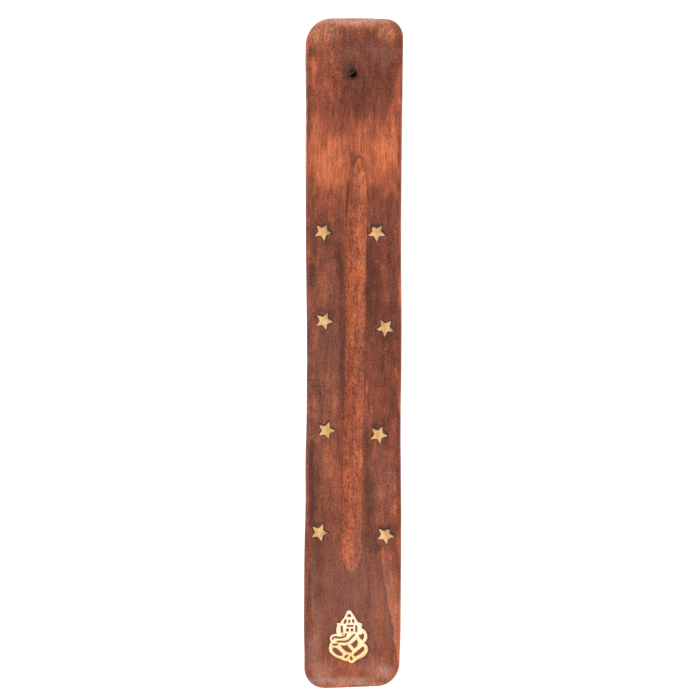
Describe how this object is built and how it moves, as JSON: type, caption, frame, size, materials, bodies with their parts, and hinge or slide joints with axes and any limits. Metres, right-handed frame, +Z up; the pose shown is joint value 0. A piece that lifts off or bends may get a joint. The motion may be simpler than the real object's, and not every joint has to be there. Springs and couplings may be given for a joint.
{
  "type": "incense burner",
  "caption": "Ski-shaped wooden incense-stick burner with an upturned head, a leaning stick hole, a shallow ash groove, brass star inlays and a pierced brass figure.",
  "frame": {"origin": "on the surface that the board stands on, under the middle of its length and width", "axes": "+Y along the board towards the upturned head, +X to the right seen from above with the head away, +Z up"},
  "size_m": [0.0373, 0.254, 0.0242],
  "materials": {
    "wood": "reddish-brown stain under a thin satin lacquer",
    "star_brass": "sanded flush, fine straight scratches",
    "figure_brass": "bright, lightly polished",
    "star_filler": "dark glue and sawdust, matt and grainy",
    "figure_filler": "wood-coloured glue and sawdust, matt"
  },
  "bodies": {
    "root": {"board": "wood", "star_left_1": "star_brass", "star_left_2": "star_brass", "star_left_3": "star_brass", "star_left_4": "star_brass", "star_right_1": "star_brass", "star_right_2": "star_brass", "star_right_3": "star_brass", "star_right_4": "star_brass", "star_filler_left_1": "star_filler", "star_filler_left_2": "star_filler", "star_filler_left_3": "star_filler", "star_filler_left_4": "star_filler", "star_filler_right_1": "star_filler", "star_filler_right_2": "star_filler", "star_filler_right_3": "star_filler", "star_filler_right_4": "star_filler", "figure_inlay": "figure_brass", "figure_filler": "figure_filler"}
  },
  "joints": []
}
